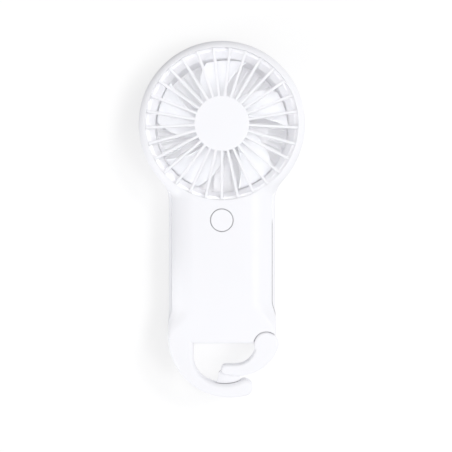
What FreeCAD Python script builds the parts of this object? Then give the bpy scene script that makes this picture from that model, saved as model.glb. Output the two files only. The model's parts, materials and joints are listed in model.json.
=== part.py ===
import FreeCAD, Part
import math
import os

# Handheld rechargeable fan with a carabiner hook at the foot of its handle.
# Millimetres. +Z runs up the handle, the fan blows towards -Y, which is its front, and
# +X is to the right as seen from the front. The origin lies under the lowest point of
# the hook, half way through the body's depth.

# ---- driving dimensions -------------------------------------------------------------
HEAD_Z = 131.0            # height of the fan's axis
HEAD_R = 40.0             # outside radius of the round head
HALF_DEPTH = 13.5         # half of the body's depth
WALL = 2.0                # housing wall
PART_Y = -6.8             # plane where the front cover meets the rear shell
SEAM = 0.8                # width of the fine groove round that joint
SEAM_DEPTH = 1.2

GRIP_HALF = 26.0          # half width of the handle
NECK_R = 13.0             # concave blend between head and handle
GRIP_LOW_RIGHT = 46.0     # where the handle's full side rounding starts to tighten
GRIP_LOW_LEFT = 42.0
BODY_FOOT_Z = 25.9        # flat lower end of the handle
CORNER_LEFT = 3.0
CORNER_RIGHT = 6.0
FRONT_ROUND = {"head": 4.5, "grip": 12.5, "foot": 2.0}
BACK_ROUND = {"head": 5.0, "grip": 12.5, "foot": 5.5}
LEAST_ROUND = 0.4

GRILLE_OPEN_R = 36.4      # opening in the front ring
OPEN_BEVEL = 0.3
GRILLE_RIM_R = 37.5
GRILLE_FACE_Y = -13.1
GRILLE_BACK_Y = -10.9
RIM_FRONT_Y = -12.0         # the grille's rim, which sits in a rebate of the ring
RIM_BACK_Y = -10.6
SLAT_COUNT = 29
SLAT_WIDTH = 1.3
SLAT_ROUND = 0.35
HUB_DISC_R = 13.2
LOWEST_SLAT = 270.0       # one slat points straight down
PITCH = 360.0 / SLAT_COUNT

SHROUD_IN_R = 32.6
SHROUD_OUT_R = 34.0
LEDGE_R = 37.4
LEDGE_Y = -9.8
LEDGE_THICK = 1.3
MOUTH_R = 35.0            # front of the funnel that leads the air out of the shroud
MOUTH_BACK_Y = -5.2
MOUTH_WALL = 0.9
INTAKE_LONG_R = 16.2      # inner ends of the long and the short slots in the back
INTAKE_SHORT_R = 23.4
INTAKE_OUT_R = 31.4
INTAKE_WIDTH = 1.5

BLADES = 5
BLADE_TIP_R = 31.8
BLADE_FIRST_TIP = 12.0    # angle of the first blade's tip
BLADE_SWEEP = 26.0        # the root is this far ahead of the tip
BLADE_ROOT_SPAN = 46.0
BLADE_TIP_SPAN = 35.0
BLADE_CAMBER = 0.09
HUB_R = 12.4
HUB_FRONT_Y = -10.0
HUB_BACK_Y = -2.2

SHAFT_R = 1.0
SHAFT_PLAY = 0.03
MOTOR_R = 10.2
MOTOR_FRONT_Y = -0.5
MOTOR_CAP_Y = 9.0
CUP_IN_R = 11.3
CUP_OUT_R = 12.8
INNER_BACK_Y = HALF_DEPTH - WALL
INNER_FRONT_Y = -INNER_BACK_Y

BUTTON_Z = 84.8
BUTTON_R = 5.3
BUTTON_HOLE_R = 5.6
BUTTON_FLANGE_R = 7.2

PCB_FRONT_Y = -2.2
PCB_THICK = 1.2
PCB_HALF = 16.0
PCB_LOW_Z = 58.0
PCB_TOP_Z = 93.0
PCB_SCREWS = ((12.6, 61.5), (-12.6, 89.5))
USB_Z = 67.0
USB_WIDTH = 8.94
USB_HEIGHT = 3.2
USB_MOUTH_X = -25.0
USB_LENGTH = 7.3
USB_WALL = 0.3

CELL = (34.0, 9.5, 50.0)  # flat rechargeable cell: width, depth, height
CELL_FRONT_Y = 0.8
CELL_LOW_Z = 34.0

POSTS = ((-20.3, 81.0), (20.3, 81.0), (-20.3, 38.5), (20.3, 38.5))
POST_R = 2.6
POST_MEET_Y = -1.2
SCREW_R = 1.15
SCREW_HEAD_R = 2.1
SCREW_SEAT_Y = 4.0

HOOK_BACK_Y = -4.0
HOOK_ROUND = 2.0
PIVOT = (21.2, 25.6)      # gate's hinge
BOSS_R = 5.9
POCKET_R = 6.2
POCKET_WALL = 1.6
LUG_R = 5.6
GATE_BACK_Y = -5.5
LUG_FRONT_Y = -5.2
LUG_BACK_Y = 4.0
PIN_R = 1.5
PIN_PLAY = 0.05
PIN_FRONT_Y = -11.2
PIN_BACK_Y = 2.0
DUCT_HALF = 3.4           # half width of the channel that hides the motor's wires
DUCT_FRONT_Y = 9.1

FIT_GAP = 0.1             # between a moving piece and the one that it rests on
FAR = 200.0               # longer than the object, for cutting blocks


# ---- small helpers ------------------------------------------------------------------
def at(x, y, z):
    return FreeCAD.Vector(x, y, z)


def block(x0, x1, y0, y1, z0, z1):
    return Part.makeBox(x1 - x0, y1 - y0, z1 - z0, at(x0, y0, z0))


def rod(x, z, radius, y0, y1):
    """A cylinder along Y."""
    return Part.makeCylinder(radius, y1 - y0, at(x, y0, z), at(0, 1, 0))


def tube(x, z, inner, outer, y0, y1):
    return rod(x, z, outer, y0, y1).cut(rod(x, z, inner, y0 - 1, y1 + 1))


def fan_tube(inner, outer, y0, y1):
    return tube(0, HEAD_Z, inner, outer, y0, y1)


def polar(radius, degrees, centre=(0.0, HEAD_Z)):
    """Plan point at an angle measured from +X towards +Z."""
    a = math.radians(degrees)
    return (centre[0] + radius * math.cos(a), centre[1] + radius * math.sin(a))


def flat(point):
    return at(point[0], 0, point[1])


def line(a, b):
    return Part.LineSegment(flat(a), flat(b)).toShape()


def bow(a, middle, b):
    return Part.Arc(flat(a), flat(middle), flat(b)).toShape()


def sweep_arc(centre, radius, start, stop):
    middle = (start + stop) / 2
    points = [polar(radius, angle, centre) for angle in (start, middle, stop)]
    return bow(*points)


def plate(edges, y0, y1):
    """A plan outline made solid between two depths."""
    face = Part.Face(Part.Wire(Part.__sortEdges__(edges)))
    solid = face.extrude(at(0, y1 - y0, 0))
    solid.translate(at(0, y0, 0))
    return solid


def turn(shape, degrees, centre=(0.0, HEAD_Z)):
    """A copy turned from +X towards +Z about a line along Y."""
    copy = shape.copy()
    copy.rotate(flat(centre), at(0, -1, 0), degrees)
    return copy


def ring_sector(inner, outer, start, stop, y0, y1):
    centre = (0.0, HEAD_Z)
    edges = [sweep_arc(centre, outer, start, stop), sweep_arc(centre, inner, start, stop)]
    edges += [line(polar(inner, angle), polar(outer, angle)) for angle in (start, stop)]
    return plate(edges, y0, y1)


def across(edge):
    """True for an edge that lies in a plane of constant depth."""
    return edge.BoundBox.YLength < 0.01


def rim_edges(shape, y):
    return [e for e in shape.Edges if across(e) and abs(e.BoundBox.YMin - y) < 0.01]


def depth_edges(shape):
    """The edges that run straight along Y."""
    return [e for e in shape.Edges if e.BoundBox.XLength < 0.01 and e.BoundBox.ZLength < 0.01]


def fuse_all(first, others):
    return first.multiFuse(list(others)).removeSplitter()


def save(name, shape):
    shape.exportStep("parts/" + name + ".step")


def cross_head(x, z, head_y, tip_y, shank_r, head_r, head_thick):
    """A screw driven from behind: its head is the end with the greater Y."""
    shank = rod(x, z, shank_r, tip_y + shank_r, head_y)
    point = Part.makeCone(0.2, shank_r, shank_r, at(x, tip_y, z), at(0, 1, 0))
    head = rod(x, z, head_r, head_y, head_y + head_thick)
    top = head_y + head_thick
    head = head.makeFillet(head_thick * 0.5, rim_edges(head, top))
    arm = head_r * 0.62
    slot = block(x - arm, x + arm, top - 0.7, top + 1, z - 0.28, z + 0.28)
    cross = slot.fuse(turn(slot, 90, (x, z)))
    return shank.fuse(point).fuse(head).removeSplitter().cut(cross)


# ---- the body's outer form ----------------------------------------------------------
def neck(inset):
    """Where the concave blend touches the handle and the head, and its circle."""
    head = HEAD_R - inset
    blend = NECK_R + inset
    centre_x = GRIP_HALF - inset + blend
    drop = math.sqrt((head + blend) ** 2 - centre_x ** 2)
    share = head / (head + blend)
    return {
        "centre": (centre_x, HEAD_Z - drop),
        "radius": blend,
        "on_head": (centre_x * share, HEAD_Z - drop * share),
    }


def body_outline(inset):
    bend = neck(inset)
    half = GRIP_HALF - inset
    foot = BODY_FOOT_Z + inset
    left = max(CORNER_LEFT - inset, 1.0)
    right = max(CORNER_RIGHT - inset, 1.0)
    head_at = bend["on_head"]
    blend_z = bend["centre"][1]
    lift = math.degrees(math.atan2(head_at[1] - HEAD_Z, head_at[0]))
    reach = math.degrees(math.atan2(head_at[1] - blend_z, head_at[0] - bend["centre"][0]))
    mirror_centre = (-bend["centre"][0], blend_z)
    return [
        sweep_arc((0.0, HEAD_Z), HEAD_R - inset, lift, 180 - lift),
        sweep_arc(bend["centre"], bend["radius"], reach, 180),
        sweep_arc(mirror_centre, bend["radius"], 0, 180 - reach),
        line((half, blend_z), (half, GRIP_LOW_RIGHT)),
        line((half, GRIP_LOW_RIGHT), (half, foot + right)),
        sweep_arc((half - right, foot + right), right, 0, -90),
        line((half - right, foot), (left - half, foot)),
        sweep_arc((left - half, foot + left), left, -90, -180),
        line((-half, foot + left), (-half, GRIP_LOW_LEFT)),
        line((-half, GRIP_LOW_LEFT), (-half, blend_z)),
    ]


def body_form(inset=0.0):
    """The whole body, moved in by inset: rounding swells from head to grip and back."""
    half = HALF_DEPTH - inset
    bend = neck(inset)
    raw = plate(body_outline(inset), -half, half)

    def rounding(vertex, sizes):
        if vertex.Z > bend["on_head"][1] - 0.01:
            size = sizes["head"]
        elif vertex.Z > (GRIP_LOW_RIGHT if vertex.X > 0 else GRIP_LOW_LEFT) - 0.01:
            size = sizes["grip"]
        else:
            size = sizes["foot"]
        return max(size - inset, LEAST_ROUND)

    plan = []
    for number, edge in enumerate(raw.Edges, 1):
        if across(edge):
            sizes = FRONT_ROUND if edge.BoundBox.YMax < 0 else BACK_ROUND
            plan.append((number,
                         rounding(edge.Vertexes[0], sizes),
                         rounding(edge.Vertexes[-1], sizes)))
    sheet = FreeCAD.newDocument("rounding")
    base = sheet.addObject("Part::Feature", "raw")
    base.Shape = raw
    rounded = sheet.addObject("Part::Fillet", "rounded")
    rounded.Base = base
    rounded.Edges = plan
    sheet.recompute()
    form = rounded.Shape.copy()
    FreeCAD.closeDocument(sheet.Name)
    return form


def half_space(front):
    if front:
        return block(-FAR, FAR, -FAR, PART_Y, -FAR, FAR)
    return block(-FAR, FAR, PART_Y, FAR, -FAR, FAR)


# ---- carabiner outlines -------------------------------------------------------------
NOSE_TOP = (10.0, 8.7)
NOSE_FOOT = (11.5, 0.95)
HOOK_TOP_Z = BODY_FOOT_Z + WALL


def hook_outline():
    outer_top = (-25.93, HOOK_TOP_Z)
    lowest = (4.0, 0.0)
    inner_left = -13.6
    turn_in = (inner_left, 19.5)
    bed = (-7.9, 9.2)
    return [
        bow(outer_top, (-17.21, 8.79), lowest),
        bow(lowest, (7.8, 0.24), NOSE_FOOT),
        bow(NOSE_FOOT, (14.7, 5.6), NOSE_TOP),
        bow(NOSE_TOP, (1.2, 6.5), bed),
        bow(bed, (-12.0, 13.5), turn_in),
        line(turn_in, (inner_left, HOOK_TOP_Z)),
        line((inner_left, HOOK_TOP_Z), outer_top),
    ]


def gate_outline():
    heel = (26.9, 24.2)
    throat = (16.2, 25.7)
    bend = (6.4, 15.9)
    tip_top = (2.2, 15.9)
    tip_foot = (2.6, 11.3)
    return [
        bow(throat, (13.33, 18.77), bend),
        line(bend, tip_top),
        bow(tip_top, (-0.3, 13.7), tip_foot),
        bow(tip_foot, (17.6, 13.1), heel),
        line(heel, throat),
    ]


def tongue_outline():
    """The stepped end that closes against the inside of the hook's nose."""
    toe = (-2.4, 7.24)
    heel = (8.6, 8.31)
    root = (8.6, 13.0)
    shoulder = (2.0, 14.6)
    brow = (-1.4, 12.0)
    return [
        bow(toe, (3.1, 6.9), heel),
        line(heel, root),
        line(root, shoulder),
        line(shoulder, brow),
        line(brow, toe),
    ]


def hook():
    arm = plate(hook_outline(), -HALF_DEPTH, HOOK_BACK_Y)
    edges = rim_edges(arm, -HALF_DEPTH) + rim_edges(arm, HOOK_BACK_Y)
    arm = arm.makeFillet(HOOK_ROUND, [e for e in edges if e.BoundBox.ZMin < BODY_FOOT_Z])
    clear = block(-FAR, FAR, PART_Y, FAR, BODY_FOOT_Z - 0.3, FAR)
    return arm.cut(clear)


# ---- housing ------------------------------------------------------------------------
def pocket_wall(form, front):
    """The round wall that keeps the gate's boss out of the handle."""
    back = PART_Y if front else LUG_FRONT_Y + POCKET_WALL
    start = -HALF_DEPTH if front else PART_Y
    return rod(*PIVOT, POCKET_R + POCKET_WALL, start, back).common(form)


def pocket():
    return rod(*PIVOT, POCKET_R, -HALF_DEPTH - 1, LUG_FRONT_Y)


def seam_groove(core):
    band = block(-FAR, FAR, PART_Y - SEAM, PART_Y, BODY_FOOT_Z - 0.2, FAR)
    return band.cut(core)


def front_cover(form, cavity, groove_core):
    shell = form.cut(cavity).common(half_space(True))
    shell = shell.cut(rod(0, HEAD_Z, GRILLE_OPEN_R, -HALF_DEPTH - 1, PART_Y))
    rebate = fan_tube(GRILLE_OPEN_R - 1, GRILLE_RIM_R + FIT_GAP, RIM_FRONT_Y - FIT_GAP,
                      RIM_BACK_Y + 2 * FIT_GAP)
    bevel = Part.makeCone(GRILLE_OPEN_R + OPEN_BEVEL, GRILLE_OPEN_R, OPEN_BEVEL,
                          at(0, -HALF_DEPTH, HEAD_Z), at(0, 1, 0))
    shell = shell.cut(rebate).cut(bevel)
    additions = [tube(0, BUTTON_Z, BUTTON_HOLE_R, BUTTON_HOLE_R + 1.3, INNER_FRONT_Y - 0.5, -9.8)]
    additions.append(pocket_wall(form, True))
    for x, z in POSTS:
        post = rod(x, z, POST_R, -HALF_DEPTH + 1, POST_MEET_Y)
        additions.append(post.common(form))
    for x, z in PCB_SCREWS:
        additions.append(rod(x, z, 2.2, INNER_FRONT_Y - 0.5, PCB_FRONT_Y))
    for angle in (40, 90, 140):
        additions.append(catch(angle))
    body = fuse_all(shell, additions)
    body = body.cut(seam_groove(groove_core))
    body = body.fuse(hook()).removeSplitter()
    cuts = [pocket(), rod(0, BUTTON_Z, BUTTON_HOLE_R, -HALF_DEPTH - 1, -9)]
    for x, z in POSTS:
        cuts.append(rod(x, z, SCREW_R, -10.2, POST_MEET_Y + 1))
    for x, z in PCB_SCREWS:
        cuts.append(rod(x, z, 0.85, -9.2, PCB_FRONT_Y + 1))
    return body.cut(Part.makeCompound(cuts))


def catch(angle):
    """A snap tab inside the head ring that grips behind the shroud's ledge."""
    spread = 6.0
    under = LEDGE_Y + LEDGE_THICK + FIT_GAP
    leg = ring_sector(LEDGE_R + 0.2, HEAD_R - WALL + 0.3, angle - spread, angle + spread,
                      INNER_FRONT_Y + 1.2, under + 0.9)
    toe = ring_sector(LEDGE_R - 0.7, HEAD_R - WALL + 0.3, angle - spread, angle + spread,
                      under, under + 0.9)
    rooted = ring_sector(HEAD_R - WALL - 0.1, HEAD_R - WALL + 0.5, angle - spread,
                         angle + spread, INNER_FRONT_Y + 1.2, PART_Y - SEAM - 0.1)
    inside = rod(0, HEAD_Z, HEAD_R - WALL - 0.05, -HALF_DEPTH, HALF_DEPTH)
    return leg.fuse(toe).common(inside).fuse(rooted)


def front_grille():
    disc = rod(0, HEAD_Z, HUB_DISC_R, GRILLE_FACE_Y, GRILLE_BACK_Y)
    disc = disc.makeFillet(SLAT_ROUND, rim_edges(disc, GRILLE_FACE_Y))
    slat = block(HUB_DISC_R - 1, GRILLE_OPEN_R - 0.1, GRILLE_FACE_Y, GRILLE_BACK_Y,
                 HEAD_Z - SLAT_WIDTH / 2, HEAD_Z + SLAT_WIDTH / 2)
    long_edges = [e for e in rim_edges(slat, GRILLE_FACE_Y) if e.BoundBox.XLength > 1]
    slat = slat.makeFillet(SLAT_ROUND, long_edges)
    foot = block(GRILLE_OPEN_R - 1, GRILLE_RIM_R - 0.5, RIM_FRONT_Y, GRILLE_BACK_Y,
                 HEAD_Z - SLAT_WIDTH / 2, HEAD_Z + SLAT_WIDTH / 2)
    slat = slat.fuse(foot)
    slats = [turn(slat, LOWEST_SLAT + PITCH * n) for n in range(SLAT_COUNT)]
    rim = fan_tube(GRILLE_OPEN_R + 0.3, GRILLE_RIM_R, RIM_FRONT_Y, RIM_BACK_Y)
    return fuse_all(disc, slats + [rim])


def intake_slot(inner, degrees):
    """A radial slot with round ends, through the back."""
    half = INTAKE_WIDTH / 2
    slot = block(inner, INTAKE_OUT_R, INNER_BACK_Y - 1, HALF_DEPTH + 1, HEAD_Z - half, HEAD_Z + half)
    slot = slot.makeFillet(half * 0.98, depth_edges(slot))
    return turn(slot, degrees)


def intake_slots():
    """Long and short slots in turn, but for the gap where the wires' channel is."""
    slots = []
    for n in range(SLAT_COUNT):
        if n not in (0, SLAT_COUNT - 1):
            slots.append(intake_slot(INTAKE_LONG_R, LOWEST_SLAT + PITCH * (n + 0.5)))
        if n > 0:
            slots.append(intake_slot(INTAKE_SHORT_R, LOWEST_SLAT + PITCH * n))
    return slots


def lip():
    """A low wall on the rear shell that locates inside the front cover's handle."""
    outer = body_form(WALL + 0.25)
    inner = body_form(WALL + 1.15)
    rooted = body_form(WALL - 0.3).cut(inner)
    below_head = block(-FAR, FAR, PART_Y - 1.6, PART_Y, BODY_FOOT_Z, 86.0)
    base = block(-FAR, FAR, PART_Y, PART_Y + 2, BODY_FOOT_Z, 86.0)
    wall = outer.cut(inner).common(below_head).fuse(rooted.common(base))
    keep_off = [rod(*PIVOT, POCKET_R + POCKET_WALL + 0.3, -HALF_DEPTH, PART_Y)]
    keep_off += [rod(x, z, POST_R + 0.3, -HALF_DEPTH, POST_MEET_Y) for x, z in POSTS]
    return wall.cut(Part.makeCompound(keep_off))


def rear_shell(form, cavity):
    shell = form.cut(cavity).common(half_space(False))
    additions = [
        fan_tube(SHROUD_IN_R, SHROUD_OUT_R, LEDGE_Y, INNER_BACK_Y + 0.5),
        fan_tube(SHROUD_IN_R, LEDGE_R, LEDGE_Y, LEDGE_Y + LEDGE_THICK),
        fan_tube(CUP_IN_R, CUP_OUT_R, MOTOR_FRONT_Y, INNER_BACK_Y + 0.5),
        pocket_wall(form, False),
        lip(),
        lug(),
        block(-DUCT_HALF - 0.8, DUCT_HALF + 0.8, DUCT_FRONT_Y - 0.8, INNER_BACK_Y + 0.5,
              HEAD_Z - SHROUD_IN_R - 0.5, HEAD_Z - CUP_OUT_R + 0.5),
        rod(*PIVOT, POCKET_R + POCKET_WALL, LUG_FRONT_Y, LUG_BACK_Y).common(form),
    ]
    for x, z in POSTS:
        additions.append(rod(x, z, POST_R + 0.6, POST_MEET_Y, HALF_DEPTH).common(form))
    for x in (-12.0, 12.0):
        additions.append(block(x - 3, x + 3, CELL_FRONT_Y + 2, INNER_BACK_Y + 0.5, 31.6, 33.2))
        additions.append(block(x - 3, x + 3, CELL_FRONT_Y + 2, INNER_BACK_Y + 0.5, 88.4, 90.0))
    additions.append(fan_tube(SHROUD_IN_R, MOUTH_R + MOUTH_WALL, LEDGE_Y, MOUTH_BACK_Y))
    body = fuse_all(shell, additions)
    funnel = Part.makeCone(MOUTH_R, SHROUD_IN_R, MOUTH_BACK_Y - LEDGE_Y,
                           at(0, LEDGE_Y, HEAD_Z), at(0, 1, 0))
    cuts = intake_slots() + [pocket(), usb_hole(), wire_duct(), funnel]
    cuts.append(rod(*PIVOT, PIN_R, LUG_FRONT_Y - 1, PIN_BACK_Y))
    cuts.append(rod(PIVOT[0] + 3.2, PIVOT[1], 0.5, LUG_FRONT_Y - 1, LUG_FRONT_Y + 1.6))
    for x, z in POSTS:
        cuts.append(rod(x, z, SCREW_R + 0.15, POST_MEET_Y - 1, SCREW_SEAT_Y + 1))
        cuts.append(rod(x, z, SCREW_HEAD_R + 0.2, SCREW_SEAT_Y, HALF_DEPTH + 1))
    return body.cut(Part.makeCompound(cuts))


def usb_hole():
    y = PCB_FRONT_Y + PCB_THICK + USB_HEIGHT / 2
    return usb_bar(y, USB_WIDTH / 2 + 0.25, USB_HEIGHT / 2 + 0.25, -GRIP_HALF - 2, -21.0)


def wire_duct():
    """The way for the motor's wires from the cup, behind the shroud, to the handle."""
    return block(-DUCT_HALF, DUCT_HALF, DUCT_FRONT_Y, INNER_BACK_Y,
                 HEAD_Z - SHROUD_OUT_R - 1, HEAD_Z - MOTOR_R)


def lug():
    """The round ear behind the gate's boss, which holds the hinge pin."""
    ear = rod(*PIVOT, LUG_R, LUG_FRONT_Y, LUG_BACK_Y)
    return ear.makeFillet(1.4, rim_edges(ear, LUG_BACK_Y))


def housing_screws():
    screws = [cross_head(x, z, SCREW_SEAT_Y, -9.4, SCREW_R, SCREW_HEAD_R, 1.5) for x, z in POSTS]
    return Part.makeCompound(screws)


# ---- impeller and motor -------------------------------------------------------------
def blade_section(radius, share):
    """A thin cambered section in the plane square to the radius at its middle."""
    middle = math.radians(BLADE_FIRST_TIP + BLADE_SWEEP * (1 - share))
    span = math.radians(BLADE_ROOT_SPAN + (BLADE_TIP_SPAN - BLADE_ROOT_SPAN) * share)
    width = 2 * radius * math.tan(span / 2)
    thick = 1.5 - 0.55 * share
    front = -9.0 - 0.3 * share
    back = -2.6 + 3.8 * share
    depth = back - front
    chord = math.hypot(width, depth)
    along = (width / chord, depth / chord)
    suction = (-along[1], along[0])
    centre_y = (front + back) / 2
    outward = at(math.cos(middle), 0, math.sin(middle))
    sideways = at(-math.sin(middle), 0, math.cos(middle))

    def point(share_along, rise):
        t = share_along * chord * along[0] + rise * suction[0]
        y = centre_y + share_along * chord * along[1] + rise * suction[1]
        return outward * radius + sideways * t + at(0, y, HEAD_Z)

    bulge = BLADE_CAMBER * chord
    end = 0.5 - 0.35 * thick / chord
    back_face = [point(-end, thick * 0.3), point(0, bulge + thick / 2), point(end, thick * 0.3)]
    front_face = [point(-end, -thick * 0.3), point(0, bulge - thick / 2), point(end, -thick * 0.3)]
    edges = [
        Part.Arc(*back_face).toShape(),
        Part.Arc(back_face[2], point(0.5, 0), front_face[2]).toShape(),
        Part.Arc(*reversed(front_face)).toShape(),
        Part.Arc(front_face[0], point(-0.5, 0), back_face[0]).toShape(),
    ]
    return Part.Wire(edges)


def blade():
    sections = []
    for radius in (11.3, 16.0, 21.5, 27.5, 35.0):
        share = (radius - HUB_R) / (BLADE_TIP_R - HUB_R)
        sections.append(blade_section(radius, share))
    loft = Part.makeLoft(sections, True, False)
    return loft.common(rod(0, HEAD_Z, BLADE_TIP_R, -HALF_DEPTH, HALF_DEPTH))


def impeller():
    hub = rod(0, HEAD_Z, HUB_R, HUB_FRONT_Y, HUB_BACK_Y)
    hub = hub.makeFillet(1.5, rim_edges(hub, HUB_FRONT_Y))
    hollow = rod(0, HEAD_Z, HUB_R - 1.5, HUB_FRONT_Y + 1.6, HUB_BACK_Y + 1)
    keep = rod(0, HEAD_Z, HUB_R - 0.4, -HALF_DEPTH, HALF_DEPTH)
    blades = [turn(blade(), 360.0 / BLADES * n).cut(keep) for n in range(BLADES)]
    body = fuse_all(hub, blades).cut(hollow)
    sleeve = rod(0, HEAD_Z, 2.6, HUB_FRONT_Y + 1.0, HUB_BACK_Y - 0.4)
    body = body.fuse(sleeve).removeSplitter()
    return body.cut(rod(0, HEAD_Z, SHAFT_R, HUB_FRONT_Y + 1.0, HUB_BACK_Y + 1))


def motor_shaft():
    shaft = rod(0, HEAD_Z, SHAFT_R, HUB_FRONT_Y + 1.2, 11.2)
    return shaft.makeChamfer(0.2, rim_edges(shaft, 11.2))


def motor_can():
    can = rod(0, HEAD_Z, MOTOR_R, MOTOR_FRONT_Y, MOTOR_CAP_Y)
    can = can.makeFillet(1.0, rim_edges(can, MOTOR_FRONT_Y))
    can = can.cut(rod(0, HEAD_Z, MOTOR_R - 0.6, MOTOR_FRONT_Y + 0.6, MOTOR_CAP_Y + 1))
    collar = rod(0, HEAD_Z, 3.2, MOTOR_FRONT_Y - 0.8, MOTOR_FRONT_Y + 0.6)
    return can.fuse(collar).removeSplitter().cut(rod(0, HEAD_Z, 2.4, -3, 2))


def motor_end_cap():
    cap = rod(0, HEAD_Z, MOTOR_R, MOTOR_CAP_Y, 10.2)
    plug = fan_tube(8.2, MOTOR_R - 0.65, MOTOR_CAP_Y - 0.6, MOTOR_CAP_Y)
    boss = rod(0, HEAD_Z, 3.6, 10.2, INNER_BACK_Y)
    cap = fuse_all(cap, [plug, boss])
    return cap.cut(rod(0, HEAD_Z, 2.4, MOTOR_CAP_Y - 1, INNER_BACK_Y))


def motor_bush(y0, y1):
    return fan_tube(SHAFT_R + SHAFT_PLAY, 2.4, y0, y1)


def motor_magnets():
    arcs = [ring_sector(7.7, MOTOR_R - 0.6, side + 22, side + 158, 1.0, 8.2) for side in (0, 180)]
    return Part.makeCompound(arcs)


def motor_armature():
    """Three-pole laminated core pressed on the shaft."""
    core = rod(0, HEAD_Z, 7.2, 2.0, 6.4)
    for n in range(3):
        angle = 30 + 120 * n
        gap = block(6.0, 8.0, 1.0, 7.4, HEAD_Z - 0.7, HEAD_Z + 0.7)
        room = ring_sector(3.2, 6.1, angle - 42, angle + 42, 1.0, 7.4)
        core = core.cut(turn(gap, angle)).cut(room)
    return core.cut(rod(0, HEAD_Z, SHAFT_R, 1, 8))


def motor_windings():
    """One coil round each pole, in the rooms between the poles."""
    coils = []
    for n in range(3):
        pole = 90 + 120 * n
        outer = block(3.4, 5.9, 1.2, 7.2, HEAD_Z - 2.7, HEAD_Z + 2.7)
        outer = outer.makeFillet(0.7, [e for e in outer.Edges if e.BoundBox.XLength > 2])
        inner = block(3.0, 6.4, 1.95, 6.45, HEAD_Z - 1.95, HEAD_Z + 1.95)
        coil = turn(outer.cut(inner), pole)
        coils.append(coil.cut(motor_armature()))
    return Part.makeCompound(coils)


def motor_commutator():
    drum = fan_tube(SHAFT_R, 2.2, 7.3, 8.9)
    for n in range(3):
        gap = block(1.6, 3.0, 7.0, 9.0, HEAD_Z - 0.15, HEAD_Z + 0.15)
        drum = drum.cut(turn(gap, 30 + 120 * n))
    return drum


def motor_brushes():
    """Two leaf springs from the end cap that bear on the commutator."""
    leaves = []
    for side in (-1, 1):
        x0, x1 = sorted((side * 2.3, side * 2.6))
        leaf = block(x0, x1, 7.6, 8.7, HEAD_Z - 4.5, HEAD_Z + 1.5)
        y0 = 8.7
        root = block(x0, x1, y0, MOTOR_CAP_Y, HEAD_Z - 4.5, HEAD_Z - 3.0)
        leaves.append(leaf.fuse(root).removeSplitter())
    return Part.makeCompound(leaves)


def motor_terminals():
    tabs = [block(x - 0.9, x + 0.9, 10.2, 10.6, HEAD_Z - 12.2, HEAD_Z - 7.2) for x in (-2.5, 2.5)]
    return Part.makeCompound(tabs)


def motor_sleeve():
    return fan_tube(MOTOR_R, CUP_IN_R, 1.0, 7.6)


def motor_retainer():
    ring = fan_tube(4.2, CUP_OUT_R - 0.2, MOTOR_FRONT_Y - 0.8, MOTOR_FRONT_Y)
    return ring.makeChamfer(0.3, [rim_edges(ring, MOTOR_FRONT_Y - 0.8)[0]])


# ---- switch and electronics ---------------------------------------------------------
def power_button():
    cap = rod(0, BUTTON_Z, BUTTON_R, -HALF_DEPTH, -9.6)
    cap = cap.makeFillet(0.45, rim_edges(cap, -HALF_DEPTH))
    flange = rod(0, BUTTON_Z, BUTTON_FLANGE_R, -9.8 + FIT_GAP, -8.9)
    stem = rod(0, BUTTON_Z, 1.9, -8.9, -7.5 - FIT_GAP)
    return fuse_all(cap, [flange, stem])


def tact_switch_body():
    case = block(-3, 3, -6.7, PCB_FRONT_Y, BUTTON_Z - 3, BUTTON_Z + 3)
    case = case.makeFillet(0.4, depth_edges(case))
    return case.cut(rod(0, BUTTON_Z, 1.8, -7, -5.2))


def tact_switch_plunger():
    stem = rod(0, BUTTON_Z, 1.7, -7.5, -6.0)
    return stem.makeFillet(0.25, rim_edges(stem, -7.5))


def main_pcb():
    back = PCB_FRONT_Y + PCB_THICK
    board = block(-PCB_HALF, PCB_HALF, PCB_FRONT_Y, back, PCB_LOW_Z, PCB_TOP_Z)
    wing = block(-22.4, -PCB_HALF, PCB_FRONT_Y, back, USB_Z - 6.5, USB_Z + 6.5)
    board = board.fuse(wing).removeSplitter()
    board = board.makeFillet(0.8, depth_edges(board))
    for x, z in PCB_SCREWS:
        board = board.cut(rod(x, z, 0.95, -5, 5))
    return board


def pcb_screws():
    seat = PCB_FRONT_Y + PCB_THICK
    return Part.makeCompound([cross_head(x, z, seat, -8.6, 0.85, 1.6, 0.9) for x, z in PCB_SCREWS])


def usb_bar(y, half_z, half_y, x0, x1):
    """A bar along X with full round ends, as wide as the USB-C plug is."""
    bar = block(x0, x1, y - half_y, y + half_y, USB_Z - half_z, USB_Z + half_z)
    return bar.makeFillet(half_y * 0.98, [e for e in bar.Edges if e.BoundBox.XLength > 1])


def usb_c_shell():
    y = PCB_FRONT_Y + PCB_THICK + USB_HEIGHT / 2
    inner_end = USB_MOUTH_X + USB_LENGTH
    shell = usb_bar(y, USB_WIDTH / 2, USB_HEIGHT / 2, USB_MOUTH_X, inner_end)
    hollow = usb_bar(y, USB_WIDTH / 2 - USB_WALL, USB_HEIGHT / 2 - USB_WALL,
                     USB_MOUTH_X - 1, inner_end - 0.8)
    return shell.cut(hollow)


def usb_c_tongue():
    y = PCB_FRONT_Y + PCB_THICK + USB_HEIGHT / 2
    inner_end = USB_MOUTH_X + USB_LENGTH - 0.8
    blade_part = block(USB_MOUTH_X + 0.8, inner_end, y - 0.35, y + 0.35, USB_Z - 3.3, USB_Z + 3.3)
    base = block(inner_end - 1.2, inner_end, y - 1.0, y + 1.0, USB_Z - 3.3, USB_Z + 3.3)
    return blade_part.fuse(base).removeSplitter()


def chip(x, z, width, height, thick):
    body = block(x - width / 2, x + width / 2, PCB_FRONT_Y - thick, PCB_FRONT_Y,
                 z - height / 2, z + height / 2)
    return body.makeChamfer(0.2, rim_edges(body, PCB_FRONT_Y - thick))


def power_inductor():
    body = block(6.5, 11.5, -4.7, PCB_FRONT_Y, 65.0, 70.0)
    return body.makeFillet(0.9, depth_edges(body))


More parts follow.
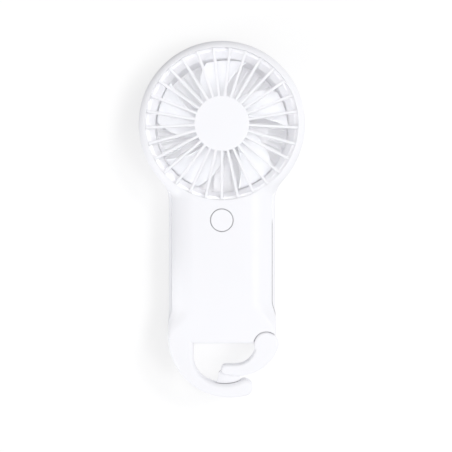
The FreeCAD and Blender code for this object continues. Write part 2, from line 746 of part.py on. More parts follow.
def pcb_capacitors():
    places = ((5.6, 73.5), (8.6, 73.5), (11.6, 73.5), (-3.0, 60.6), (0.0, 60.6), (3.0, 60.6))
    return Part.makeCompound([chip(x, z, 1.2, 2.0, 0.9) for x, z in places])


def battery_cell():
    width, depth, height = CELL
    cell = block(-width / 2, width / 2, CELL_FRONT_Y, CELL_FRONT_Y + depth,
                 CELL_LOW_Z, CELL_LOW_Z + height)
    return cell.makeFillet(1.8, [e for e in cell.Edges if e.BoundBox.ZLength > 1])


def battery_board():
    top = CELL_LOW_Z + CELL[2]
    return block(-13, 13, 4.0, 5.0, top, top + 3.4)


def battery_pad():
    back = CELL_FRONT_Y + CELL[1]
    return block(-12, 12, back, INNER_BACK_Y, CELL_LOW_Z + 5, CELL_LOW_Z + CELL[2] - 5)


def lead(start, corner, end, radius, bend):
    """An insulated wire with one round bend, along Z first and then along Y."""
    along = (corner - start).normalize()
    away = (end - corner).normalize()
    into = corner - along * bend
    out = corner + away * bend
    middle = corner + (away - along) * bend * (1 - math.sqrt(0.5))
    path = Part.Wire([
        Part.LineSegment(start, into).toShape(),
        Part.Arc(into, middle, out).toShape(),
        Part.LineSegment(out, end).toShape(),
    ])
    profile = Part.Wire(Part.makeCircle(radius, start, along))
    return path.makePipeShell([profile], True, True)


def motor_lead(x):
    corner = at(x, 9.9, 91.6)
    return lead(at(x, 9.9, HEAD_Z - 12.2), corner, at(x, PCB_FRONT_Y + PCB_THICK, 91.6), 0.6, 3.0)


def battery_lead(x):
    top = CELL_LOW_Z + CELL[2] + 3.4
    corner = at(x, 4.5, top + 3.0)
    return lead(at(x, 4.5, top), corner, at(x, PCB_FRONT_Y + PCB_THICK, top + 3.0), 0.5, 1.8)


# ---- carabiner gate -----------------------------------------------------------------
def carabiner_gate():
    bar = plate(gate_outline(), -HALF_DEPTH, GATE_BACK_Y)
    boss = rod(*PIVOT, BOSS_R, -HALF_DEPTH, GATE_BACK_Y)
    body = bar.fuse(boss).removeSplitter()
    body = body.makeFillet(1.1, rim_edges(body, -HALF_DEPTH) + rim_edges(body, GATE_BACK_Y))
    tongue = plate(tongue_outline(), -11.0, -6.6)
    body = body.fuse(tongue).removeSplitter()
    bore = rod(*PIVOT, PIN_R + PIN_PLAY, PIN_FRONT_Y - 0.2, GATE_BACK_Y + 1)
    room = tube(*PIVOT, 2.0, 4.2, -9.6, GATE_BACK_Y + 1)
    anchor = rod(PIVOT[0] - 3.2, PIVOT[1], 0.5, -10.8, -9.5)
    return body.cut(bore).cut(room).cut(anchor)


def gate_pin():
    pin = rod(*PIVOT, PIN_R, PIN_FRONT_Y, PIN_BACK_Y)
    return pin.makeChamfer(0.25, rim_edges(pin, PIN_FRONT_Y) + rim_edges(pin, PIN_BACK_Y))


def gate_spring():
    """A torsion spring round the pin, with one end in the lug and one in the gate."""
    wire_r = 0.28
    coil_r = 3.2
    pitch = 0.8
    turns = 3.5
    coil = Part.makeHelix(pitch, pitch * turns, coil_r)
    profile = Part.Wire(Part.makeCircle(wire_r, at(coil_r, 0, 0), at(0, 1, 0)))
    spring = Part.Wire(coil).makePipeShell([profile], True, True)
    spring.rotate(at(0, 0, 0), at(1, 0, 0), 90)
    spring.translate(at(PIVOT[0], -6.3, PIVOT[1]))
    front_leg = rod(PIVOT[0] - coil_r, PIVOT[1], wire_r, -10.6, -6.3 - pitch * turns)
    back_leg = rod(PIVOT[0] + coil_r, PIVOT[1], wire_r, -6.3, LUG_FRONT_Y + 1.4)
    return fuse_all(spring, [front_leg, back_leg])


# ---- all nodes ----------------------------------------------------------------------
def main():
    os.makedirs("parts", exist_ok=True)
    form = body_form()
    cavity = body_form(WALL)
    groove_core = body_form(SEAM_DEPTH)
    save("front_cover", front_cover(form, cavity, groove_core))
    save("rear_shell", rear_shell(form, cavity))
    save("front_grille", front_grille())
    save("housing_screws", housing_screws())
    save("impeller", impeller())
    save("motor_shaft", motor_shaft())
    save("motor_can", motor_can())
    save("motor_end_cap", motor_end_cap())
    save("motor_bush_front", motor_bush(MOTOR_FRONT_Y - 0.8, 1.2))
    save("motor_bush_rear", motor_bush(MOTOR_CAP_Y + 0.2, 11.4))
    save("motor_magnets", motor_magnets())
    save("motor_armature", motor_armature())
    save("motor_windings", motor_windings())
    save("motor_commutator", motor_commutator())
    save("motor_brushes", motor_brushes())
    save("motor_terminals", motor_terminals())
    save("motor_sleeve", motor_sleeve())
    save("motor_retainer", motor_retainer())
    save("motor_lead_red", motor_lead(-2.5))
    save("motor_lead_black", motor_lead(2.5))
    save("power_button", power_button())
    save("tact_switch_body", tact_switch_body())
    save("tact_switch_plunger", tact_switch_plunger())
    save("main_pcb", main_pcb())
    save("pcb_screws", pcb_screws())
    save("usb_c_shell", usb_c_shell())
    save("usb_c_tongue", usb_c_tongue())
    save("charger_chip", chip(-7.5, 66.5, 5.0, 6.0, 1.5))
    save("control_chip", chip(1.0, 66.5, 4.0, 5.0, 1.2))
    save("power_inductor", power_inductor())
    save("pcb_capacitors", pcb_capacitors())
    save("battery_cell", battery_cell())
    save("battery_board", battery_board())
    save("battery_pad", battery_pad())
    save("battery_lead_red", battery_lead(-8.0))
    save("battery_lead_black", battery_lead(8.0))
    save("carabiner_gate", carabiner_gate())
    save("gate_pin", gate_pin())
    save("gate_spring", gate_spring())


main()
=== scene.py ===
import json
import math

import bmesh
import bpy
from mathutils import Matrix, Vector


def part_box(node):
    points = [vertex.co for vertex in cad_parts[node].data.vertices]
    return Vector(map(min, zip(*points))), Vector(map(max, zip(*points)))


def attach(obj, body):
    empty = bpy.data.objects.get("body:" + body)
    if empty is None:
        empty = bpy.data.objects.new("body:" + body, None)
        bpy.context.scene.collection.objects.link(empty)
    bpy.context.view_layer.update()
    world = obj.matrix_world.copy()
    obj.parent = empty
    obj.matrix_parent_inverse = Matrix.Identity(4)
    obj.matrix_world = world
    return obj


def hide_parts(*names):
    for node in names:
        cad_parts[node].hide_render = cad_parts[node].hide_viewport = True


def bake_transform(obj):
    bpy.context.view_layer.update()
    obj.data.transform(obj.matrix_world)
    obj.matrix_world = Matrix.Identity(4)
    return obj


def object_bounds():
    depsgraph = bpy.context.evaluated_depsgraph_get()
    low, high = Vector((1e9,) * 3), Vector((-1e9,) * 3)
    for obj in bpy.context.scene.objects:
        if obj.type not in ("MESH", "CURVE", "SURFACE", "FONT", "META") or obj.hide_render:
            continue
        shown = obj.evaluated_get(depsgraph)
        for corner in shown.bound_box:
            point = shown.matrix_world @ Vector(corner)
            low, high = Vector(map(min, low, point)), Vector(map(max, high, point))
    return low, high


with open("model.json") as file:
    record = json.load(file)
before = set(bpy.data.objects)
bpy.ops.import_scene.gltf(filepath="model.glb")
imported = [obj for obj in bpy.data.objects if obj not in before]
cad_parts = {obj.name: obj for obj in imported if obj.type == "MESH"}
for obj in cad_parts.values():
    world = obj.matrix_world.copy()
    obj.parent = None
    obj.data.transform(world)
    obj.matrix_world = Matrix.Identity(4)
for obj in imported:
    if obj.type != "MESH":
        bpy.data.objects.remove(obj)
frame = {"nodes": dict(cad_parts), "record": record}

CAD_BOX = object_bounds()

# ---- view and light, in metres and degrees ------------------------------------------
VIEW_HEIGHT = 0.4798         # share of the object's height that the camera looks at
VIEW_RIGHT = 0.0020          # how far to the right of the middle it looks
VIEW_DISTANCE = 0.470        # from the front face
VIEW_WIDTH = 0.2152          # width that the picture covers at the front face
SENSOR = 36.0                # sensor's width, in millimetres
VIEW_GAMMA = 1.3
SKY_LEVEL = 0.54             # brightness of the surroundings
SKY_SIDES = (                # how it changes towards each side
    ((-1.0, 0.0, 0.0), 0.57),
    ((1.0, 0.0, 0.0), 0.22),
    ((0.0, 0.0, 1.0), 0.75),
    ((0.0, 0.0, -1.0), -0.08),
    ((0.0, -1.0, 0.0), 0.11),
    ((0.0, 1.0, 0.0), 0.30),
    ((-0.5, 0.0, 0.87), -1.45),
    ((-0.7, 0.0, -0.7), 0.21),
)
SKY_COLOUR = (0.98, 0.99, 1.02, 1.0)
LAMPS = (                    # place from the object's middle, width, power
    ("key_high", (0.48, -0.80, 0.36), 0.26, 0.98),
    ("key_middle", (0.46, -0.85, 0.15), 0.26, 0.20),
    ("key_low", (0.42, -0.88, -0.10), 0.26, 1.36),
    ("key_side", (0.56, -0.78, 0.20), 0.20, 0.44),
    ("overhead", (0.05, -1.0, 0.05), 0.50, 0.92),
    ("left_card_low", (-0.80, -0.30, -0.50), 0.50, 1.45),
    ("left_card", (-0.90, -0.20, -0.10), 0.40, 0.12),
)
# lamps with a grid: place from their target, width, power, spread
LIT_BY_FILL = ("impeller", "rear_shell", "motor_retainer", "motor_can", "motor_sleeve")
FILLS = (                    # for what is behind the grille
    ("fill_straight", (0.0, -0.08, 0.0), 0.076, 0.0042, 24.0),
    ("fill_wide", (0.0, -0.08, 0.0), 0.070, 0.0062, 120.0),
)
BLADE_FILL = ("fill_blades", (0.0, -0.08, 0.0), 0.070, 0.0330, 120.0)
DEEP_FILL = ("fill_deep", (0.0, -0.08, -0.03), 0.070, 0.011, 150.0)
SIDE_FILL = ("fill_side", (-0.060, -0.012, 0.035), 0.03, 0.0010, 50.0)
CORNER_RISE = 0.010          # from the gate pin's height to the side fill's target

TABLE_GAP = 0.0002           # between the back face and the table
TABLE_HALF = 0.9
TABLE_GLOW = 0.355
TABLE_GREY = 0.66
TABLE_MOTTLE = 0.005
MOTTLE_SCALE = 9.0
TABLE_TINT = (1.005, 1.0, 0.985)
TABLE_ROUGH = (0.7, 0.8)
PAINTED_SHADOW_TINT = (0.66, 0.68, 0.74)   # painted shadow: the glow's tint where the back face covers the table
PAINTED_SHADOW_REACH = 0.003
BACKDROP_R = 3.0
BACKDROP_GLOW = 0.62
BACKDROP_STEPS = 5


# ---- node helpers -------------------------------------------------------------------
SHADE_SAMPLES = 8
SHADE_SPAN = (0.5, 0.9)      # share of open sky at which a covered shade is full, and gone


class Graph:
    """A short way to build a material's nodes."""

    def __init__(self, name):
        self.material = bpy.data.materials.new(name)
        self.material.use_nodes = True
        self.nodes = self.material.node_tree.nodes
        self.links = self.material.node_tree.links
        self.shader = self.nodes["Principled BSDF"]
        self.coords = self.nodes.new("ShaderNodeTexCoord").outputs["Object"]

    def join(self, output, node, socket):
        self.links.new(output, node.inputs[socket])

    def set(self, **values):
        for key, value in values.items():
            self.shader.inputs[key.replace("_", " ")].default_value = value

    def stretched(self, scale):
        node = self.nodes.new("ShaderNodeMapping")
        node.inputs["Scale"].default_value = scale
        self.join(self.coords, node, "Vector")
        return node.outputs["Vector"]

    def noise(self, scale, detail=3.0, roughness=0.5, vector=None):
        node = self.nodes.new("ShaderNodeTexNoise")
        node.inputs["Scale"].default_value = scale
        node.inputs["Detail"].default_value = detail
        node.inputs["Roughness"].default_value = roughness
        self.join(vector or self.coords, node, "Vector")
        return node.outputs["Fac"]

    def cells(self, scale, feature="F1", vector=None):
        node = self.nodes.new("ShaderNodeTexVoronoi")
        node.feature = feature
        node.inputs["Scale"].default_value = scale
        self.join(vector or self.coords, node, "Vector")
        return node.outputs["Distance"]

    def ramp(self, value, low, high, start=0.35, stop=0.65):
        """Maps a value to the span from low to high, as two greys or two colours."""
        node = self.nodes.new("ShaderNodeValToRGB")
        colours = [c if isinstance(c, tuple) else (c, c, c) for c in (low, high)]
        for element, place, colour in zip(node.color_ramp.elements, (start, stop), colours):
            element.position = place
            element.color = (*colour, 1.0)
        self.join(value, node, "Fac")
        return node.outputs["Color"]

    def bump(self, value, depth, strength=1.0, after=None):
        node = self.nodes.new("ShaderNodeBump")
        node.inputs["Distance"].default_value = depth
        node.inputs["Strength"].default_value = strength
        self.join(value, node, "Height")
        if after is not None:
            self.join(after, node, "Normal")
        return node.outputs["Normal"]

    def covered_shade(self, low, reach):
        """Painted shade: 1 on open surfaces, down to low where another surface lies within reach."""
        node = self.nodes.new("ShaderNodeAmbientOcclusion")
        node.samples = SHADE_SAMPLES
        node.inputs["Distance"].default_value = reach
        return self.ramp(node.outputs["AO"], low, 1.0, *SHADE_SPAN)

    def along(self, axis, low, high, start, stop):
        """Maps a place on one axis to the span from low at start to high at stop."""
        node = self.nodes.new("ShaderNodeSeparateXYZ")
        self.join(self.coords, node, "Vector")
        return self.ramp(node.outputs[axis], low, high, start, stop)

    def combine(self, operation, first, second):
        """Joins two colours by a vector operation, channel by channel."""
        node = self.nodes.new("ShaderNodeVectorMath")
        node.operation = operation
        self.links.new(first, node.inputs[0])
        self.links.new(second, node.inputs[1])
        return node.outputs["Vector"]

    def colour(self, output):
        self.join(output, self.shader, "Base Color")

    def roughness(self, output):
        self.join(output, self.shader, "Roughness")

    def normal(self, output):
        self.join(output, self.shader, "Normal")


# ---- materials: scales are features per metre, depths and reaches are in metres -------
# reach and darkest share of the painted shade in fine gaps between pieces
JOINT_REACH = 0.0008
JOINT_SHADE = 0.85
# reach and darkest share of the painted shade in the seam groove
SEAM_REACH = 0.0025
SEAM_SHADE = 0.2
SEAM_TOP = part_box("front_grille")[0].z - 0.008   # the painted shade ends a little below the head
SEAM_FADE = 0.004


def painted_gap_shade(g):
    """Painted shade in the fine gaps between pieces."""
    return g.covered_shade(JOINT_SHADE, JOINT_REACH)


def painted_seam_shade(g):
    """Painted shade in the groove between the two mouldings, on the handle's right side only."""
    head = g.along("Z", 0.0, 1.0, SEAM_TOP - SEAM_FADE, SEAM_TOP)
    left = g.along("X", 1.0, 0.0, 0.0, SEAM_FADE)
    unshaded = g.combine("MAXIMUM", head, left)
    return g.combine("MAXIMUM", g.covered_shade(SEAM_SHADE, SEAM_REACH), unshaded)


FLOW_SCALE = 38.0            # faint marks of the plastic's flow in the mould
FLOW_STRETCH = (1.0, 1.0, 0.35)
FLOW_DULL = 0.985
HANDLED_SCALE = 120.0        # slightly glossier and duller patches
ERODED_SCALE = 2600.0        # grain of the spark-eroded mould
WAVE_SCALE = 60.0            # unevenness of a moulded wall
WAVE_DEPTH = 0.00004
INNER_SHARE = 0.12           # light that spreads inside the plastic
INNER_REACH = 0.0015
INNER_TINT = (1.0, 0.95, 0.9)


def moulded(name, tint, rough, grain, shade):
    """Satin ABS: fine spark-eroded grain, faint flow marks and a little light inside."""
    g = Graph(name)
    stretched = g.stretched(FLOW_STRETCH)
    flow = g.noise(FLOW_SCALE, detail=2.0, roughness=0.4, vector=stretched)
    dull = tuple(c * FLOW_DULL for c in tint)
    tone = g.ramp(flow, dull, tint)
    # painted shade in gaps and grooves, where one is given
    if shade is not None:
        tone = g.combine("MULTIPLY", tone, shade(g))
    g.colour(tone)
    g.roughness(g.ramp(g.noise(HANDLED_SCALE, detail=4.0, roughness=0.6), *rough))
    fine = g.bump(g.noise(ERODED_SCALE, detail=2.0), grain, strength=0.5)
    waves = g.noise(WAVE_SCALE, detail=1.0, roughness=0.3)
    g.normal(g.bump(waves, WAVE_DEPTH, strength=0.25, after=fine))
    g.set(IOR=1.52, Subsurface_Weight=INNER_SHARE, Subsurface_Scale=INNER_REACH)
    g.set(Subsurface_Radius=INNER_TINT)
    return g.material


METAL_DULL = 0.82
METAL_SPAN = (0.3, 0.7)
METAL_DEPTH = 0.00002


def metal(name, colour, rough, streak, scale):
    """Streaked metal; the streak is the stretch of its grain along each axis."""
    g = Graph(name)
    lines = g.noise(scale, detail=4.0, roughness=0.6, vector=g.stretched(streak))
    dark = tuple(c * METAL_DULL for c in colour)
    g.colour(g.ramp(lines, dark, colour, *METAL_SPAN))
    g.roughness(g.ramp(lines, *rough, *METAL_SPAN))
    g.normal(g.bump(lines, METAL_DEPTH, strength=0.4))
    g.set(Metallic=1.0)
    return g.material


BLOTCH_SCALE = 300.0
BLOTCH_GAIN = 1.12
BLOTCH_LIFT = 0.004
SHEEN_SCALE = 700.0


def plastic(name, colour, rough, scale, grain):
    """Dark or coloured plastic, rubber or ferrite with soft blotches and a fine grain."""
    g = Graph(name)
    light = tuple(c * BLOTCH_GAIN + BLOTCH_LIFT for c in colour)
    g.colour(g.ramp(g.noise(BLOTCH_SCALE), colour, light))
    g.roughness(g.ramp(g.noise(SHEEN_SCALE), *rough))
    g.normal(g.bump(g.noise(scale, detail=2.0), grain, strength=0.6))
    return g.material


TRACK_SCALE = 420.0
TRACK_SPAN = (0.03, 0.09)
TRACK_DEPTH = 0.00004
MASK_SCALE = 500.0
MASK_ROUGH = (0.25, 0.42)
MASK_GREEN = (0.012, 0.085, 0.036)
TRACK_GREEN = (0.03, 0.16, 0.075)


def circuit_board(name):
    """Green mask over faint tracks and pads."""
    g = Graph(name)
    tracks = g.cells(TRACK_SCALE, "DISTANCE_TO_EDGE")
    g.colour(g.ramp(tracks, TRACK_GREEN, MASK_GREEN, *TRACK_SPAN))
    g.roughness(g.ramp(g.noise(MASK_SCALE), *MASK_ROUGH))
    g.normal(g.bump(g.ramp(tracks, 1.0, 0.0, *TRACK_SPAN), TRACK_DEPTH, strength=0.7))
    return g.material


CREASE_SCALE = 130.0
CREASE_STRETCH = (1.0, 1.0, 0.6)
CREASE_DEPTH = 0.0003
CREASE_GREY = (0.52, 0.53, 0.55)
FOIL_GREY = (0.68, 0.69, 0.71)
FOIL_SCALE = 900.0
FOIL_DEPTH = 0.00004
GLOSS_SCALE = 260.0
FOIL_ROUGH = (0.26, 0.42)


def cell_wrap(name):
    """Laminated pouch foil with soft creases, darker grey in their hollows as painted shade."""
    g = Graph(name)
    creases = g.cells(CREASE_SCALE, "SMOOTH_F1", g.stretched(CREASE_STRETCH))
    # painted shade: darker grey in the creases' hollows, where the bump sinks
    g.colour(g.ramp(creases, CREASE_GREY, FOIL_GREY, start=0.1, stop=0.7))
    g.roughness(g.ramp(g.noise(GLOSS_SCALE), *FOIL_ROUGH))
    fine = g.bump(g.noise(FOIL_SCALE), FOIL_DEPTH, strength=0.4)
    g.normal(g.bump(creases, CREASE_DEPTH, strength=0.35, after=fine))
    g.set(Metallic=0.85)
    return g.material


ENAMEL_SCALE = 900.0
ENAMEL_DEPTH = 0.0001
ENAMEL_BEND = 1.2
ENAMEL_DARK = (0.2, 0.065, 0.025)
ENAMEL_LIGHT = (0.62, 0.25, 0.1)
ENAMEL_ROUGH = (0.22, 0.36)


def wound_copper(name):
    """Enamelled copper, lighter and darker in fine bands."""
    g = Graph(name)
    wave = g.nodes.new("ShaderNodeTexWave")
    wave.bands_direction = "Z"
    wave.inputs["Scale"].default_value = ENAMEL_SCALE
    wave.inputs["Distortion"].default_value = ENAMEL_BEND
    g.join(g.coords, wave, "Vector")
    bands = wave.outputs["Fac"]
    g.colour(g.ramp(bands, ENAMEL_DARK, ENAMEL_LIGHT, start=0.1, stop=0.7))
    g.roughness(g.ramp(g.noise(ENAMEL_SCALE), *ENAMEL_ROUGH))
    g.normal(g.bump(bands, ENAMEL_DEPTH, strength=0.8))
    g.set(Metallic=1.0, Coat_Weight=0.5, Coat_Roughness=0.15)
    return g.material


PORE_SCALE = 1500.0
PORE_DEPTH = 0.0003
PORE_BLACK = (0.02, 0.02, 0.022)
FOAM_BLACK = (0.075, 0.075, 0.08)
FOAM_SCALE = 400.0
FOAM_ROUGH = (0.85, 0.97)


def cell_foam(name):
    """Black foam with fine pores, darker in them as painted shade."""
    g = Graph(name)
    pores = g.cells(PORE_SCALE)
    # painted shade: darker at the middle of each pore, where the bump sinks
    g.colour(g.ramp(pores, PORE_BLACK, FOAM_BLACK, start=0.1, stop=0.6))
    g.roughness(g.ramp(g.noise(FOAM_SCALE), *FOAM_ROUGH))
    g.normal(g.bump(pores, PORE_DEPTH, strength=0.8))
    return g.material


def table_surface(name):
    """Plain pale board, lit from the front, with an even glow that is darkened where the fan's back
    face covers it, a painted shadow; its back lets the view and the light through.
    """
    g = Graph(name)
    low = tuple(c * (TABLE_GREY - TABLE_MOTTLE) for c in TABLE_TINT)
    high = tuple(c * (TABLE_GREY + TABLE_MOTTLE) for c in TABLE_TINT)
    g.colour(g.ramp(g.noise(MOTTLE_SCALE, detail=2.0), low, high))
    g.roughness(g.ramp(g.noise(SHEEN_SCALE), *TABLE_ROUGH))
    g.set(Specular_IOR_Level=0.0, Emission_Strength=TABLE_GLOW)
    # painted shadow: the glow dims where the fan's back face lies close
    g.join(g.covered_shade(PAINTED_SHADOW_TINT, PAINTED_SHADOW_REACH), g.shader, "Emission Color")
    clear = g.nodes.new("ShaderNodeBsdfTransparent")
    side = g.nodes.new("ShaderNodeNewGeometry")
    mix = g.nodes.new("ShaderNodeMixShader")
    g.join(side.outputs["Backfacing"], mix, "Fac")
    g.links.new(g.shader.outputs["BSDF"], mix.inputs[1])
    g.links.new(clear.outputs["BSDF"], mix.inputs[2])
    g.join(mix.outputs["Shader"], g.nodes["Material Output"], "Surface")
    return g.material


WHITE = (0.894, 0.89, 0.917)
IMPELLER_WHITE = (0.86, 0.865, 0.89)
FINE_GRAIN = (1800.0, 0.00003)
OWN_FINISH = {"rear_shell": "shell_white"}
FINISHES = {
    # name, colour, roughness span, depth of the grain, painted shade in gaps
    "housing_white": (moulded, "abs_housing", WHITE, (0.34, 0.44), 0.00002, painted_gap_shade),
    "shell_white": (moulded, "abs_back_shell", WHITE, (0.34, 0.44), 0.00002, painted_seam_shade),
    "grille_white": (moulded, "abs_grille", WHITE, (0.32, 0.42), 0.000015, painted_gap_shade),
    "impeller_white": (moulded, "abs_impeller", IMPELLER_WHITE, (0.28, 0.4), 0.00001, None),
    "button_white": (moulded, "abs_button", WHITE, (0.3, 0.38), 0.00001, painted_gap_shade),
    "gate_white": (moulded, "pom_gate", WHITE, (0.3, 0.4), 0.000015, painted_gap_shade),
    # name, colour, roughness span, stretch of the grain, its scale
    "motor_steel": (metal, "zinc_steel", (0.6, 0.6, 0.62), (0.28, 0.42), (1.0, 0.08, 1.0), 900.0),
    "shaft_steel": (metal, "ground_steel", (0.68, 0.68, 0.7), (0.14, 0.24), (1.0, 0.1, 1.0), 1600.0),
    "screw_steel": (metal, "black_zinc", (0.16, 0.16, 0.17), (0.3, 0.45), (1.0, 0.3, 1.0), 900.0),
    "spring_steel": (metal, "spring_wire", (0.6, 0.6, 0.63), (0.2, 0.32), (1.0, 1.0, 0.2), 1400.0),
    "usb_steel": (metal, "bright_steel", (0.7, 0.7, 0.72), (0.16, 0.26), (0.1, 1.0, 1.0), 1500.0),
    "bronze": (metal, "sintered_bronze", (0.5, 0.31, 0.14), (0.35, 0.5), (1.0, 1.0, 1.0), 1500.0),
    # name, colour, roughness span, scale of the grain, its depth
    "ferrite": (plastic, "pressed_ferrite", (0.028, 0.028, 0.03), (0.45, 0.6), *FINE_GRAIN),
    "black_plastic": (plastic, "black_moulding", (0.012, 0.012, 0.013), (0.38, 0.5), *FINE_GRAIN),
    "natural_plastic": (plastic, "natural_nylon", (0.62, 0.59, 0.5), (0.35, 0.5), *FINE_GRAIN),
    "rubber": (plastic, "black_rubber", (0.016, 0.016, 0.017), (0.62, 0.8), 1200.0, 0.00005),
    "wire_red": (plastic, "wire_red", (0.35, 0.012, 0.012), (0.3, 0.42), *FINE_GRAIN),
    "wire_black": (plastic, "wire_black", (0.01, 0.01, 0.011), (0.3, 0.42), *FINE_GRAIN),
    # name only
    "copper": (wound_copper, "enamelled_copper"),
    "foam": (cell_foam, "closed_cell_foam"),
    "board_green": (circuit_board, "solder_mask"),
    "cell_foil": (cell_wrap, "pouch_foil"),
}


def dress_nodes():
    """Every CAD node gets its own finish, or else that of its slot in the record."""
    made = {slot: make(*settings) for slot, (make, *settings) in FINISHES.items()}
    for part in frame["record"]["subparts"]:
        node = frame["nodes"][part["node"]]
        node.data.materials.clear()
        finish = OWN_FINISH.get(part["node"], part["material_slot"])
        node.data.materials.append(made[finish])
    return made


# ---- wound wire ---------------------------------------------------------------------
def wire_curve(name, places, radius, smoothness, capped):
    """A round wire through the given places."""
    curve = bpy.data.curves.new(name, "CURVE")
    curve.dimensions = "3D"
    curve.bevel_depth = radius
    curve.bevel_resolution = smoothness
    curve.use_fill_caps = capped
    line = curve.splines.new("POLY")
    line.points.add(len(places) - 1)
    for point, place in zip(line.points, places):
        point.co = (*place, 1.0)
    return curve


POLES = 3
FIRST_POLE = 90.0            # degrees from +X towards +Z
COIL_WIRE = 0.00034          # wire's diameter
COIL_START = 0.00362         # from the shaft's axis to the first turn
COIL_CORE = (0.0021, 0.0024) # half width and half depth of the first layer
COIL_LAYERS = 2
COIL_TURNS = 7
TURN_POINTS = 28
SQUARENESS = 0.45            # 1 winds an ellipse, less winds nearer to a rectangle


def squared(value):
    return math.copysign(abs(value) ** SQUARENESS, value)


def coil_points(middle, degrees):
    """One wire's way round a pole, out along the first layer and back along the next."""
    a = math.radians(degrees)
    outward = Vector((math.cos(a), 0.0, math.sin(a)))
    sideways = Vector((-math.sin(a), 0.0, math.cos(a)))
    points = []
    for layer in range(COIL_LAYERS):
        half_width, half_depth = (half + COIL_WIRE * (layer + 0.5) for half in COIL_CORE)
        for step in range(COIL_TURNS * TURN_POINTS):
            turns = step / TURN_POINTS
            reach = turns if layer % 2 == 0 else COIL_TURNS - turns
            width = squared(math.cos(math.tau * turns)) * half_width
            depth = squared(math.sin(math.tau * turns)) * half_depth
            place = outward * (COIL_START + reach * COIL_WIRE) + sideways * width
            points.append(middle + place + Vector((0.0, depth, 0.0)))
    return points


def wind_coils(copper):
    """The armature's windings as real turns, in place of the plain blocks."""
    low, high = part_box("motor_windings")
    shaft_low, shaft_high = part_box("motor_shaft")
    middle = (shaft_low + shaft_high) / 2
    middle.y = (low.y + high.y) / 2
    for number in range(POLES):
        name = f"coil_{number + 1}"
        points = coil_points(middle, FIRST_POLE + 360.0 / POLES * number)
        curve = wire_curve(name, points, COIL_WIRE / 2, smoothness=2, capped=False)
        coil = bpy.data.objects.new(name, curve)
        coil.data.materials.append(copper)
        bpy.context.collection.objects.link(coil)
        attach(coil, "rotor")
        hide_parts("motor_windings")


SPRING_WIRE = 0.00056        # wire's diameter
SPRING_R = 0.0032            # to the middle of the wire
SPRING_TURNS = 3.5
SPRING_STEPS = 126
BACK_LEG = 0.0025            # straight ends, along the pin
FRONT_LEG = 0.0015


def wind_spring(steel):
    """The gate's spring, which twists: its back leg stays in the lug, its front leg turns."""
    low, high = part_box("gate_spring")
    pin_low, pin_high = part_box("gate_pin")
    pin = (pin_low + pin_high) / 2
    first, last = high.y - BACK_LEG, low.y + FRONT_LEG
    turned = [(0.0, high.y)]
    for step in range(SPRING_STEPS + 1):
        share = step / SPRING_STEPS
        turned.append((math.tau * SPRING_TURNS * share, first + (last - first) * share))
    turned.append((math.tau * SPRING_TURNS, low.y))
    round_pin = [(SPRING_R * math.cos(a), y, SPRING_R * math.sin(a)) for a, y in turned]
    places = [(pin.x + x, y, pin.z + z) for x, y, z in round_pin]
    line = wire_curve("spring_line", places, SPRING_WIRE / 2, smoothness=3, capped=True)
    guide = bpy.data.objects.new("spring_line", line)
    mesh = bpy.data.meshes.new_from_object(guide)
    bpy.data.objects.remove(guide)
    mesh.materials.clear()
    mesh.materials.append(steel)
    mesh.shade_smooth()
    spring = bpy.data.objects.new("torsion_spring", mesh)
    bpy.context.collection.objects.link(spring)
    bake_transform(spring)
    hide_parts("gate_spring")


# ---- stage --------------------------------------------------------------------------
def show_to_camera_only(thing):
    """A stage piece that bounces no light onto the object and casts no shadow."""
    thing.visible_shadow = False
    thing.visible_diffuse = False
    thing.visible_glossy = False
    thing.visible_transmission = False
    thing.visible_volume_scatter = False


def lay_on_table():
    """The surface that the fan lies on, just behind its back."""
    low, high = CAD_BOX
    y = high.y + TABLE_GAP
    middle = (low.z + high.z) / 2
    corners = [(-1, -1), (1, -1), (1, 1), (-1, 1)]
    verts = [(a * TABLE_HALF, y, middle + b * TABLE_HALF) for a, b in corners]
    mesh = bpy.data.meshes.new("table_top")
    mesh.from_pydata(verts, [], [(0, 1, 2, 3)])
    mesh.materials.append(table_surface("pale_board"))
    table = bpy.data.objects.new("table_top", mesh)
    show_to_camera_only(table)
    bpy.context.collection.objects.link(table)


def hang_backdrop():
    """A plain pale shell all round."""
    g = Graph("pale_paper")
    g.set(Base_Color=(0.0, 0.0, 0.0, 1.0), Specular_IOR_Level=0.0, Roughness=1.0)
    g.set(Emission_Color=(1.0, 1.0, 1.0, 1.0), Emission_Strength=BACKDROP_GLOW)
    shell = bmesh.new()
    bmesh.ops.create_icosphere(shell, subdivisions=BACKDROP_STEPS, radius=BACKDROP_R)
    mesh = bpy.data.meshes.new("backdrop")
    shell.to_mesh(mesh)
    shell.free()
    mesh.materials.append(g.material)
    backdrop = bpy.data.objects.new("backdrop", mesh)
    show_to_camera_only(backdrop)
    bpy.context.collection.objects.link(backdrop)


# ---- light --------------------------------------------------------------------------
def soft_light(name, place, target, width, power):
    lamp = bpy.data.lights.new(name, "AREA")
    lamp.shape = "DISK"
    lamp.size = width
    lamp.energy = power
    holder = bpy.data.objects.new(name, lamp)
    holder.location = place
    aim = target - place
    holder.rotation_euler = aim.to_track_quat("-Z", "Y").to_euler()
    bpy.context.collection.objects.link(holder)
    return holder


def group_of(name, nodes):
    group = bpy.data.collections.new(name)
    for node in nodes:
        group.objects.link(frame["nodes"][node])
    return group


def grid_light(target, settings, receivers):
    """A lamp with a grid in front of it, which lights only the given nodes."""
    name, place, width, power, spread = settings
    holder = soft_light(name, target + Vector(place), target, width, power)
    holder.data.spread = math.radians(spread)
    holder.light_linking.receiver_collection = receivers
    return holder


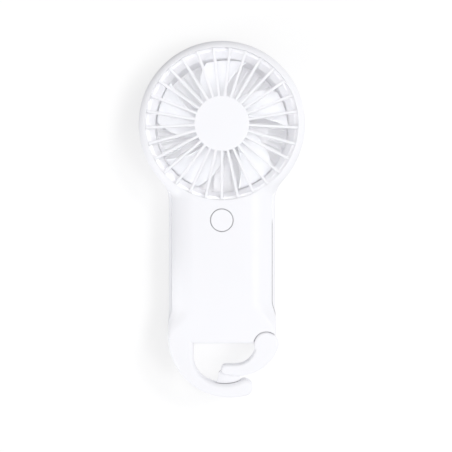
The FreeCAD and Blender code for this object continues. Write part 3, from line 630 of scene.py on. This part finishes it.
def light_inside():
    """Lamps for what is behind the grille."""
    low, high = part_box("front_grille")
    hub = (low + high) / 2
    inside = group_of("behind_grille", LIT_BY_FILL)
    for fill in FILLS:
        grid_light(hub, fill, inside)
    grid_light(hub, BLADE_FILL, group_of("blades", ("impeller",)))
    deep = grid_light(hub, DEEP_FILL, group_of("back_wall", ("rear_shell",)))
    deep.light_linking.blocker_collection = group_of("body", ("rear_shell", "front_cover"))


def light_corner():
    """A lamp that grazes the front's lower left corner, across from the gate pin."""
    low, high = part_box("gate_pin")
    corner = Vector((-low.x, low.y, high.z + CORNER_RISE))
    grid_light(corner, SIDE_FILL, group_of("front", ("front_cover",)))


def math_node(tree, operation, first, second, third=0.0):
    """A number from three inputs, each of them a socket or a constant."""
    node = tree.nodes.new("ShaderNodeMath")
    node.operation = operation
    for socket, value in zip(node.inputs, (first, second, third)):
        if isinstance(value, float):
            socket.default_value = value
        else:
            tree.links.new(value, socket)
    return node.outputs["Value"]


def surround():
    """The world's soft light, which changes towards each of the listed sides."""
    world = bpy.data.worlds.new("studio")
    world.use_nodes = True
    tree = world.node_tree
    sky = tree.nodes["Background"]
    sky.inputs["Color"].default_value = SKY_COLOUR
    direction = tree.nodes.new("ShaderNodeTexCoord").outputs["Generated"]
    level = SKY_LEVEL
    for side, change in SKY_SIDES:
        facing = tree.nodes.new("ShaderNodeVectorMath")
        facing.operation = "DOT_PRODUCT"
        facing.inputs[1].default_value = Vector(side).normalized()
        tree.links.new(direction, facing.inputs[0])
        towards = math_node(tree, "MAXIMUM", facing.outputs["Value"], 0.0)
        level = math_node(tree, "MULTIPLY_ADD", towards, change, level)
    tree.links.new(level, sky.inputs["Strength"])
    bpy.context.scene.world = world


def light_studio():
    surround()
    middle = (CAD_BOX[0] + CAD_BOX[1]) / 2
    for name, place, width, power in LAMPS:
        soft_light(name, middle + Vector(place), middle, width, power)
    light_inside()
    light_corner()
    bpy.context.scene.view_settings.view_transform = "Standard"
    bpy.context.scene.view_settings.gamma = VIEW_GAMMA


def set_camera():
    """Straight in front of the fan, a little to the right of its middle."""
    low, high = CAD_BOX
    target = Vector((VIEW_RIGHT, low.y, low.z + (high.z - low.z) * VIEW_HEIGHT))
    lens = bpy.data.cameras.new("camera")
    lens.sensor_width = SENSOR
    lens.lens = SENSOR * VIEW_DISTANCE / VIEW_WIDTH
    holder = bpy.data.objects.new("camera", lens)
    holder.location = target - Vector((0.0, VIEW_DISTANCE, 0.0))
    holder.rotation_euler = (math.radians(90), 0, 0)
    bpy.context.collection.objects.link(holder)
    bpy.context.scene.camera = holder


# ---- the scene ----------------------------------------------------------------------
set_camera()
made = dress_nodes()
wind_coils(made["copper"])
wind_spring(made["spring_steel"])
lay_on_table()
hang_backdrop()
light_studio()
